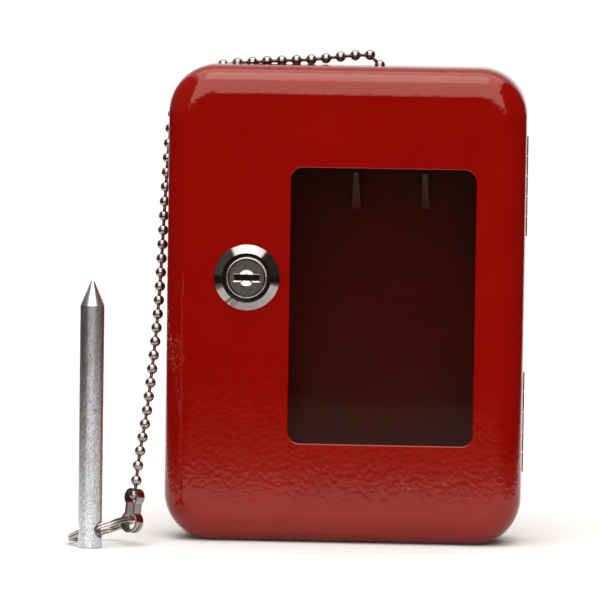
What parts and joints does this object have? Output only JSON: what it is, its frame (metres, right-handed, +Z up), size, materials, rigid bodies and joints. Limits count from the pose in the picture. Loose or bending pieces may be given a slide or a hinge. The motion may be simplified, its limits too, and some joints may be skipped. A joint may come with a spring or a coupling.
{
  "type": "emergency key box",
  "caption": "Red steel break-glass emergency key box with hinged cam-lock door, glass window, key hooks and a pointed striker rod on a ball chain.",
  "frame": {"origin": "centre of the wall-screw pattern, on the wall side of the tray", "axes": "+X to the right seen from the front, +Y into the wall, +Z up along the box's height"},
  "size_m": [0.1509, 0.068, 0.1653],
  "materials": {
    "red_paint": "gloss with light orange peel",
    "red_paint_inside": "gloss",
    "red_rail": "gloss",
    "zinc_plate": "bright zinc plate",
    "black_rubber": "matt",
    "clear_glass": "polished",
    "polished_nickel": "polished",
    "die_cast_zinc": "satin",
    "brass": "satin",
    "spring_steel": "satin",
    "bead_nickel": "polished nickel plate",
    "ring_nickel": "polished nickel plate",
    "turned_steel": "fine turned and lightly brushed"
  },
  "bodies": {
    "case": {"rear_tray": "red_paint_inside", "hook_rail": "red_rail", "rail_rivets": "zinc_plate", "case_hinge_leaves": "red_paint_inside", "case_hinge_rivets": "red_paint_inside", "hinge_pins": "zinc_plate", "cam_keeper": "zinc_plate", "keeper_rivets": "zinc_plate", "chain_grommet": "black_rubber", "chain_stop": "bead_nickel", "ball_chain": "bead_nickel", "chain_end_bead": "bead_nickel", "chain_coupling": "bead_nickel", "split_ring": "ring_nickel"},
    "door": {"door_shell": "red_paint", "glass_pane": "clear_glass", "pane_seal": "black_rubber", "pane_retainer": "zinc_plate", "retainer_studs": "zinc_plate", "retainer_nuts": "zinc_plate", "door_hinge_leaves": "red_paint_inside", "lock_bezel": "polished_nickel", "lock_housing": "die_cast_zinc", "lock_nut": "zinc_plate", "lock_star_washer": "zinc_plate"},
    "lock_rotor": {"lock_plug": "die_cast_zinc", "keyway_shutter": "polished_nickel", "lock_wafers": "brass", "wafer_springs": "spring_steel", "lock_cam": "zinc_plate", "cam_washer": "zinc_plate", "cam_screw": "zinc_plate"},
    "striker": {"striker_rod": "turned_steel"}
  },
  "joints": [
    {"name": "door_swing", "type": "hinge", "parent": "case", "child": "door", "pos_m": [0.059, -0.0123, 0], "axis": [0, 0, 1], "range_deg": [0, 120]},
    {"name": "lock_turn", "type": "hinge", "parent": "door", "child": "lock_rotor", "pos_m": [-0.0325, -0.0424, 0.0092], "axis": [0, 1, 0], "range_deg": [0, 90]},
    {"name": "striker_tip", "type": "hinge", "parent": "case", "child": "striker", "pos_m": [-0.082, -0.064, -0.0738], "axis": [0.9613, -0.2756, 0], "range_deg": [0, 90]}
  ]
}
